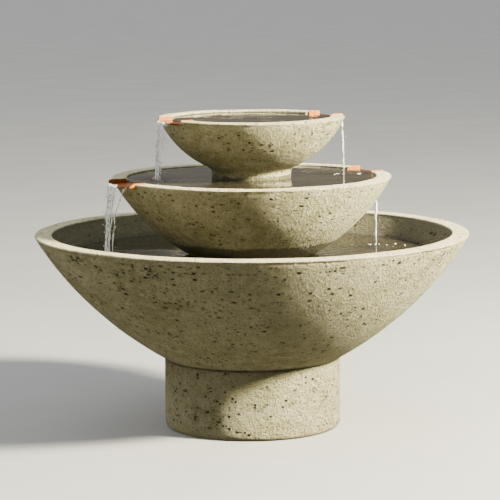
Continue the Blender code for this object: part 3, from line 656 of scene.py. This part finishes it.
def cutter_box(name, low, high, turn=0.0):
    corners = [(x, y, z) for x in (low[0], high[0]) for y in (low[1], high[1])
               for z in (low[2], high[2])]
    faces = [(0, 1, 3, 2), (4, 6, 7, 5), (0, 4, 5, 1), (2, 3, 7, 6), (0, 2, 6, 4), (1, 5, 7, 3)]
    obj = mesh_object(name, corners, faces, smooth=False)
    obj.rotation_euler = (0, 0, turn)
    return obj


def applied(obj):
    """Keeps what the modifiers make."""
    bpy.context.view_layer.update()
    mesh = bpy.data.meshes.new_from_object(obj.evaluated_get(bpy.context.evaluated_depsgraph_get()))
    obj.modifiers.clear()
    obj.data = mesh
    return obj


def carve(obj, cutter):
    mod = obj.modifiers.new("cut", "BOOLEAN")
    mod.object = cutter
    mod.solver = "EXACT"
    applied(obj)
    bpy.data.objects.remove(cutter)


def cut_notches(bowl, radius, top, gap=0.0005):
    """One long cutter makes the notches for both spouts of a bowl."""
    half = SPOUT_W / 2 + gap
    floor = top - SPOUT_DEPTH - SPOUT_SHEET - gap
    reach, above = radius + 0.03, top + 0.03
    notch = cutter_box("notch", (-reach, -half, floor), (reach, half, above), SPOUT_AZIMUTH)
    carve(bowl, notch)


def cut_arch(pedestal, inner, radius):
    """The cord's way out at the back: straight sides under a round crown."""
    half, spring, beyond = 0.025, 0.013, 0.02
    crown = arc((half, spring), (-half, spring), half * 0.999, 17)
    outline = [(-half, -beyond), (half, -beyond)] + crown
    front, back = inner - beyond, radius + beyond
    points = [(x, front, z) for x, z in outline] + [(x, back, z) for x, z in outline]
    n = len(outline)
    faces = [tuple(range(n)), tuple(reversed(range(n, 2 * n)))]
    faces += [(i, i + n, (i + 1) % n + n, (i + 1) % n) for i in range(n)]
    carve(pedestal, mesh_object("arch", points, faces, smooth=False))


# ---------------------------------------------------------------- copper spouts

def compass(azimuth):
    """Unit vectors along a spout, towards its lip, and across it."""
    cos, sin = math.cos(azimuth), math.sin(azimuth)
    return Vector((cos, sin, 0)), Vector((-sin, cos, 0))


def spout_section():
    """The folded sheet's U outline; the rim's top is at zero height."""
    half, low = SPOUT_W / 2, -SPOUT_DEPTH - SPOUT_SHEET
    fold_at = (half - SPOUT_FOLD, low + SPOUT_FOLD)

    def side_of(x, radius):
        turns = [math.radians(-90 * i / 6) for i in range(7)]
        folded = [(fold_at[0] + radius * math.cos(t), fold_at[1] + radius * math.sin(t))
                  for t in turns]
        upright = [(x, SPOUT_PROUD), (x, 0.0), (x, -0.004)]
        return upright + folded + [(half * f, folded[-1][1]) for f in (0.8, 0.6, 0.4, 0.2)]

    outer = side_of(half, SPOUT_FOLD)
    inner = side_of(half - SPOUT_SHEET, SPOUT_FOLD - SPOUT_SHEET)
    outer += [(0.0, outer[-1][1])] + [(-x, z) for x, z in reversed(outer)]
    inner += [(0.0, inner[-1][1])] + [(-x, z) for x, z in reversed(inner)]
    return outer, inner


def make_spout(name, azimuth, top, start, lip):
    """A U channel folded from sheet: clipped wall corners, softened edges, slightly uneven. The
    front wall of a left-hand spout slants back from the lip towards the rim."""
    out, across = compass(azimuth)
    outer, inner = spout_section()
    section = outer + inner[::-1]
    stations, corner = 11, 0.0028
    cut_back = CUT_BACK.get(name, 0.0)
    points = []
    for k in range(stations):
        for x, z in section:
            clip = corner * max(0.0, z / SPOUT_PROUD)
            reach = start + (lip - start) * k / (stations - 1)
            slant = cut_back * (x > 0) * max(0.0, (z + SPOUT_DEPTH) / (SPOUT_DEPTH + SPOUT_PROUD))
            reach = min(max(reach, start + clip), lip - max(clip, slant))
            spot = out * reach + across * x + Vector((0, 0, top + z))
            wave = 0.0003 * noise.noise(spot * 60)
            points.append(spot + Vector((0, 0, wave)) + across * wave)
    n, m = len(section), len(outer)
    faces = []
    for k in range(stations - 1):
        for i in range(n):
            a, b = k * n + i, k * n + (i + 1) % n
            faces.append((a, a + n, b + n, b))
    last = (stations - 1) * n
    for i in range(m - 1):
        faces.append((i, i + 1, n - 2 - i, n - 1 - i))
        faces.append((last + i + 1, last + i, last + n - 1 - i, last + n - 2 - i))
    spout = mesh_object(name + "_copper", points, faces, sharp=50)
    edge = spout.modifiers.new("soft_edges", "BEVEL")
    edge.width = 0.0007
    edge.segments = 2
    edge.limit_method = "ANGLE"
    edge.angle_limit = math.radians(50)
    finish_piece(spout, COPPER, ROOT, name)


# ---------------------------------------------------------------- water

MIDDLE_SHORE, LOWER_SHORE = (0.125, 0.315), (0.235, 0.475)     # foam spots, partly painted glints, stay between these radii
RIPPLE_HEIGHT, RIPPLE_WAVES, RIPPLE_FADE = 0.0021, 260, 13
CHURN_HEIGHT, CHURN_REACH, CHURN_SCALE = 0.0070, 0.022, 110
FRONT_CORNER = 0.04                                            # offset of the spouts' front corner
SWAY_SHIFT = Vector((9.3, -1.5, 4.7))                          # lets x and y sway on their own


def make_pool(name, inner, outer, level, sources, seed):
    """A water surface with ripples that run out from where the streams land. Each source is a place
    and a strength."""
    radial, around = max(24, round((outer - inner) / 0.0042)), 320
    points = []
    for i in range(radial + 1):
        radius = inner + (outer - inner) * i / radial
        edge = min(1.0, (outer - radius) / 0.01)
        for j in range(around):
            turn = 2 * math.pi * j / around
            x, y = radius * math.cos(turn), radius * math.sin(turn)
            lift = 0.0007 * noise.noise(Vector((x * 16, y * 16, seed)))
            for sx, sy, strength in sources:
                gap = math.hypot(x - sx, y - sy)
                waves = math.cos(gap * RIPPLE_WAVES)
                churn = noise.noise(Vector((x, y, 0)) * CHURN_SCALE)
                lift += strength * RIPPLE_HEIGHT * waves * math.exp(-gap * RIPPLE_FADE)
                lift += strength * CHURN_HEIGHT * math.exp(-((gap / CHURN_REACH) ** 2)) * churn
            points.append((x, y, level + lift * edge))
    faces = []
    for i in range(radial):
        for j in range(around):
            k = (j + 1) % around
            row, outside = i * around, (i + 1) * around
            faces.append((row + j, outside + j, outside + k, row + k))
    return finish_piece(mesh_object(name, points, faces), WATER, ROOT)


def tube(points, faces, path, widths, spin, sides=8):
    """An oval rope of water along a path of (spot, share of the way), turning as it falls."""
    base = len(points)
    last = len(path) - 1
    for i, (spot, t) in enumerate(path):
        wide = widths[0] + (widths[1] - widths[0]) * t
        wide *= 0.45 + 1.5 * abs(noise.noise(Vector((spin * 3.7, t * 14, 1.3))))
        thin = wide * (0.5 + 0.4 * abs(noise.noise(Vector((spin * 3.7, t * 6, 7.7)))))
        turn = spin * (1 + t * 2)
        if i in (0, last):
            wide, thin = wide * 0.4, thin * 0.4
        for k in range(sides):
            angle = 2 * math.pi * k / sides
            u, v = wide * math.cos(angle), thin * math.sin(angle)
            points.append((spot.x + u * math.cos(turn) - v * math.sin(turn),
                           spot.y + u * math.sin(turn) + v * math.cos(turn), spot.z))
    for i in range(last):
        for k in range(sides):
            a, b = base + i * sides + k, base + i * sides + (k + 1) % sides
            faces.append((b, a, a + sides, b + sides))
    faces.append(tuple(base + k for k in range(sides)))
    faces.append(tuple(base + last * sides + k for k in reversed(range(sides))))


def bead(points, faces, centre, radius, tall=1.3, rings=4, sides=6):
    """A small drop, or a flat white spot of foam that partly stands for a painted glint."""
    base = len(points)
    points.append(tuple(centre + Vector((0, 0, radius * tall))))
    for i in range(1, rings):
        tilt = math.pi * i / rings
        for k in range(sides):
            turn = 2 * math.pi * k / sides
            points.append((centre.x + radius * math.sin(tilt) * math.cos(turn),
                           centre.y + radius * math.sin(tilt) * math.sin(turn),
                           centre.z + radius * tall * math.cos(tilt)))
    points.append(tuple(centre - Vector((0, 0, radius * tall))))
    low = len(points) - 1
    for k in range(sides):
        after = (k + 1) % sides
        faces.append((base, base + 1 + k, base + 1 + after))
        for i in range(rings - 2):
            a, b = base + 1 + i * sides + k, base + 1 + i * sides + after
            faces.append((a, a + sides, b + sides, b))
        final = base + 1 + (rings - 2) * sides
        faces.append((final + k, low, final + after))


def fall_spot(fall, offset, t):
    """Where the water that left the lip at this offset is, t from 0 (edge) to 1 (landing)."""
    out, across = compass(fall["azimuth"])
    edge = max(fall["lip"], math.sqrt(fall["rim"] ** 2 - offset ** 2)) + 0.0012
    drop = fall["level"] - fall["landing"]
    time = math.sqrt(2 * drop / GRAVITY) * t
    target = fall["gather"] + (offset - fall["middle"]) * fall["squeeze"]
    pulled = t ** fall["pull"]
    if offset > FRONT_CORNER:      # the strand at the front corner swings across to join the others
        pulled = min(1.0, t / 0.62) ** 1.6
    side = offset + (target - offset) * pulled
    height = fall["level"] - GRAVITY / 2 * time * time
    return out * (edge + fall["speed"] * time) + across * side + Vector((0, 0, height))


def make_fall(name, fall, strands, seed):
    """Ropes of water leave a spout side by side, draw together, cross and break into beads. A fine
    remesh then melts them into one body of water."""
    rng = random.Random(seed)
    out, _ = compass(fall["azimuth"])
    steps = 45
    points, faces = [], []
    for number, (offset, width) in enumerate(strands):
        start = fall_spot(fall, offset, 0.0)
        back = start - out * 0.014
        path = [(back.lerp(start, k / 4), 0.0) for k in range(4)]
        for i in range(steps + 1):
            t = i / steps
            place = Vector((number * 3.1 + seed, t * 4.5, 0.5))
            sway = Vector((noise.noise(place), noise.noise(place + SWAY_SHIFT), 0)) * fall["sway"]
            sway *= min(1.0, t * 2)
            path.append((fall_spot(fall, offset, t) + sway, t))
        tube(points, faces, path, (width, width * 0.85), number * 1.9 + seed)
        for _ in range(fall["beads"]):
            t = rng.uniform(0.35, 1.0)
            stray = Vector((rng.gauss(0, 0.0045), rng.gauss(0, 0.0045), 0))
            bead(points, faces, fall_spot(fall, offset, t) + stray, rng.uniform(0.0007, 0.0019))
    landing = fall_spot(fall, fall["middle"], 1.0)
    near, far = fall["shore"]
    # Flat white spots around the landing: partly real foam, partly painted glints of light on the
    # ripple crests.
    for _ in range(fall["foam"]):
        afloat = landing + Vector((rng.gauss(0, 0.042), rng.gauss(-0.006, 0.020), 0.0006))
        size = rng.uniform(0.0014, 0.0040)
        if near < math.hypot(afloat.x, afloat.y) < far:
            bead(points, faces, afloat, size, tall=0.32, sides=10)
    stream = mesh_object(name, points, faces)
    melt = stream.modifiers.new("melt", "REMESH")
    melt.mode = "VOXEL"
    melt.voxel_size = 0.0008
    melt.use_smooth_shade = True
    soften = stream.modifiers.new("soften", "SMOOTH")
    soften.factor = 0.5
    soften.iterations = 2
    applied(stream)
    ripple = []
    for v in stream.data.vertices:
        wobble = noise.noise(Vector((v.co.x * 260, v.co.y * 260, v.co.z * 90)))
        ripple.append(v.co + v.normal * 0.0007 * wobble)
    for vertex, spot in zip(stream.data.vertices, ripple):
        vertex.co = spot
    finish_piece(stream, STREAM, ROOT)


def make_film(name, azimuth, top, start, lip, rim, level):
    """The thin sheet of water that runs through a spout and over its lip."""
    out, across = compass(azimuth)
    half = SPOUT_W / 2 - SPOUT_SHEET + 0.0004
    bed = top - SPOUT_DEPTH + 0.0018
    rows, columns, lead = 26, 40, 0.006
    points = []
    for j in range(columns + 1):
        side = -half + 2 * half * j / columns
        end = max(lip, math.sqrt(rim ** 2 - side ** 2)) + 0.0006
        for i in range(rows + 1):
            t = i / rows
            reach = start - lead + (end - start + lead) * t
            sink = 1 - math.exp(-4.0 * t)
            height = level + (bed - level) * sink
            height += 0.0007 * noise.noise(Vector((reach * 60, side * 60, top * 9))) * (1 - t)
            height -= 0.0035 * max(0.0, (t - 0.9) / 0.1) ** 2
            points.append(out * reach + across * side + Vector((0, 0, height)))
    n = rows + 1
    faces = [(j * n + i, j * n + i + 1, (j + 1) * n + i + 1, (j + 1) * n + i)
             for j in range(columns) for i in range(rows)]
    finish_piece(mesh_object(name, points, faces), RUNNING, ROOT)


def fall_from(spout, rim, landing, **more):
    """What a stream needs to know; its foam spots, partly painted glints on the ripples, float
    between the two distances of the shore.
    """
    azimuth, top, _, lip = SPOUTS[spout]
    shore = MIDDLE_SHORE if landing == MIDDLE_WATER else LOWER_SHORE
    return dict(azimuth=azimuth, lip=lip, rim=rim, landing=landing, shore=shore,
                level=top - SPOUT_DEPTH + 0.001, **more)


make_lower_bowl()
make_middle_bowl()
make_upper_bowl()
make_pedestal()
for spout, where in SPOUTS.items():
    make_spout(spout, *where)

# Each stream: how it falls, then its strands as (sideways offset, half-width) in metres. Offsets
# are counted across the lip from its middle.
FALLS = {
    "upper_left_stream": (
        fall_from("upper_spout_left", UPPER_R, MIDDLE_WATER, gather=-0.029, middle=-0.029,
                  squeeze=0.52, speed=0.088, pull=1.5, sway=0.0035, beads=12, foam=4),
        [(-0.064, 0.0024), (-0.059, 0.0013), (-0.054, 0.0020), (-0.048, 0.0012), (-0.042, 0.0019),
         (-0.035, 0.0011), (-0.029, 0.0020), (-0.022, 0.0011), (-0.015, 0.0018), (-0.007, 0.0022),
         (0.002, 0.0012), (0.011, 0.0015), (0.020, 0.0011)]),
    "upper_right_stream": (
        fall_from("upper_spout_right", UPPER_R, MIDDLE_WATER, gather=-0.049, middle=-0.049,
                  squeeze=0.5, speed=0.048, pull=0.8, sway=0.0016, beads=6, foam=10),
        [(-0.0515, 0.0024), (-0.0465, 0.0022)]),
    "middle_left_stream": (
        fall_from("middle_spout_left", MIDDLE_R, LOWER_WATER, gather=-0.034, middle=-0.030,
                  squeeze=0.42, speed=0.10, pull=0.9, sway=0.004, beads=14, foam=4),
        [(-0.064, 0.0024), (-0.059, 0.0015), (-0.054, 0.0026), (-0.048, 0.0013), (-0.042, 0.0024),
         (-0.035, 0.0014), (-0.028, 0.0022), (-0.021, 0.0013), (-0.014, 0.0022), (-0.007, 0.0024),
         (-0.001, 0.0013), (0.053, 0.0023)]),
    "middle_right_stream": (
        fall_from("middle_spout_right", MIDDLE_R, LOWER_WATER, gather=-0.006, middle=-0.006,
                  squeeze=0.5, speed=0.012, pull=0.8, sway=0.0018, beads=6, foam=12),
        [(-0.009, 0.0027), (-0.003, 0.0025)]),
}
landings = {}
for number, (name, (fall, strands)) in enumerate(FALLS.items()):
    make_fall(name, fall, strands, 5 + number)
    spot = fall_spot(fall, fall["middle"], 1.0)
    landings[name] = (spot.x, spot.y)
for spout, (azimuth, top, start, lip) in SPOUTS.items():
    middle = spout.startswith("middle")
    rim, level = (MIDDLE_R, MIDDLE_WATER) if middle else (UPPER_R, UPPER_WATER)
    make_film(spout.replace("spout", "film"), azimuth, top, start, lip, rim, level)

make_pool("upper_water", inner=0.002, outer=0.2093, level=UPPER_WATER,
          sources=[(0.0, 0.0, 0.25)], seed=1)
make_pool("middle_water", inner=0.1032, outer=0.3282, level=MIDDLE_WATER, seed=2,
          sources=[(*landings["upper_left_stream"], 1.0), (*landings["upper_right_stream"], 0.8)])
make_pool("lower_water", inner=0.162, outer=0.4895, level=LOWER_WATER, seed=3,
          sources=[(*landings["middle_left_stream"], 1.0), (*landings["middle_right_stream"], 0.8)])

# ---------------------------------------------------------------- CAD nodes that keep their shape

FINISHES = {
    "riser_stone": RISER_STONE,
    "pipe_copper": copper("pipe_copper", (0.72, 0.36, 0.21), (0.45, 0.20, 0.12), (0.35, 0.55)),
    "black_rubber": moulded("black_rubber", (0.03, 0.03, 0.03), 0.75),
    "pump_housing": moulded("pump_housing", (0.045, 0.048, 0.052), 0.5),
    "grey_plastic": moulded("grey_plastic", (0.24, 0.25, 0.26), 0.5),
    "impeller_plastic": moulded("impeller_plastic", (0.05, 0.16, 0.36), 0.4),
    "vinyl_hose": moulded("vinyl_hose", (0.12, 0.14, 0.13), 0.3),
    "filter_foam": foam("filter_foam"),
    "stainless_steel": metal("stainless_steel", (0.62, 0.62, 0.64), 0.32),
    "core_steel": metal("core_steel", (0.34, 0.34, 0.36), 0.45, (1.0, 1.0, 60.0)),
    "enamelled_winding": metal("enamelled_winding", (0.55, 0.22, 0.09), 0.4, (1.0, 40.0, 1.0)),
    "ferrite": moulded("ferrite", (0.09, 0.09, 0.10), 0.6),
    "shaft_ceramic": moulded("shaft_ceramic", (0.85, 0.84, 0.80), 0.25, 0.04),
}
slot_of = {row["node"]: row["material_slot"] for row in frame["record"]["subparts"]}
for node, obj in frame["nodes"].items():
    if not obj.hide_render:
        for held in obj.material_slots:
            held.material = FINISHES[slot_of[node]]

# ---------------------------------------------------------------- studio

far = 60
corners = [(-far, -far, 0), (far, -far, 0), (far, far, 0), (-far, far, 0)]
floor = mesh_object("studio_floor", corners, [(0, 1, 2, 3)])
paper = Shader("pale_floor", Roughness=0.9)
blotches = paper.span(paper.noise(2.0), 0.3, 0.7)
paper.set("Base Color", paper.mix(blotches, (0.30, 0.297, 0.29), (0.33, 0.327, 0.32)))
floor.data.materials.append(paper.mat)
# The fountain stands on dark ground, which throws hardly any light up.
floor.visible_diffuse = False

world = bpy.data.worlds.new("studio")
bpy.context.scene.world = world
world.use_nodes = True
tree = world.node_tree
heading = tree.nodes.new("ShaderNodeTexCoord")
axes = tree.nodes.new("ShaderNodeSeparateXYZ")
tree.links.new(heading.outputs["Generated"], axes.inputs[0])


def between(value, low, high, to_low, to_high):
    made = tree.nodes.new("ShaderNodeMapRange")
    tree.links.new(value, made.inputs["Value"])
    for name, number in zip(SPAN_SOCKETS, (low, high, to_low, to_high)):
        made.inputs[name].default_value = number
    return made.outputs["Result"]


# A soft sky: bright overhead, dim and warm along the horizon, and stronger from the left.
LEFT_STRENGTH, RIGHT_STRENGTH = 8.4, 2.25
ramp = tree.nodes.new("ShaderNodeValToRGB")
stops = [(0.0, (0.100, 0.093, 0.070)), (0.47, (0.058, 0.053, 0.039)), (0.54, (0.064, 0.060, 0.051)),
         (0.74, (0.115, 0.111, 0.102)), (0.86, (0.43, 0.443, 0.456))]
while len(ramp.color_ramp.elements) < len(stops):
    ramp.color_ramp.elements.new(0.5)
for element, (place, shade) in zip(ramp.color_ramp.elements, stops):
    element.position = place
for element, (place, shade) in zip(ramp.color_ramp.elements, stops):
    element.color = (*shade, 1.0)
sky = tree.nodes["Background"]
tree.links.new(between(axes.outputs["Z"], -1.0, 1.0, 0.0, 1.0), ramp.inputs["Fac"])
tree.links.new(ramp.outputs["Color"], sky.inputs["Color"])
tree.links.new(between(axes.outputs["X"], -0.9, 0.2, LEFT_STRENGTH, RIGHT_STRENGTH),
               sky.inputs["Strength"])


def round_lamp(name, direction, distance, size, power, colour, target=(0, 0, 0.4)):
    data = bpy.data.lights.new(name, "AREA")
    data.shape = "DISK"
    data.size = size
    data.energy = power
    data.color = colour
    lamp = bpy.data.objects.new(name, data)
    bpy.context.scene.collection.objects.link(lamp)
    lamp.location = Vector(target) + Vector(direction).normalized() * distance
    lamp.rotation_euler = (Vector(target) - lamp.location).to_track_quat("-Z", "Y").to_euler()
    return lamp


# The soft key lights the surfaces; a small twin makes the highlights, so that no broad glare lies
# on the pools.
KEY = dict(direction=(0.789, -0.335, 0.515), distance=6.0, power=4150, colour=(1.0, 0.93, 0.70))
round_lamp("key", size=1.0, **KEY).visible_glossy = False
round_lamp("glint", size=0.12, **KEY).visible_diffuse = False

CAMERA_DISTANCE, CAMERA_HEIGHT, CAMERA_LENS = 6.0, 1.2717, 165.3
CAMERA_PITCH, CAMERA_TILT = 0.1335, 0.0065
camera_data = bpy.data.cameras.new("camera")
camera_data.lens = CAMERA_LENS
camera_data.sensor_width = 36
camera_data.clip_end = 200
camera = bpy.data.objects.new("camera", camera_data)
bpy.context.scene.collection.objects.link(camera)
camera.location = (0, -CAMERA_DISTANCE, CAMERA_HEIGHT)
camera.rotation_euler = (math.pi / 2 - CAMERA_PITCH, CAMERA_TILT, 0)
bpy.context.scene.camera = camera
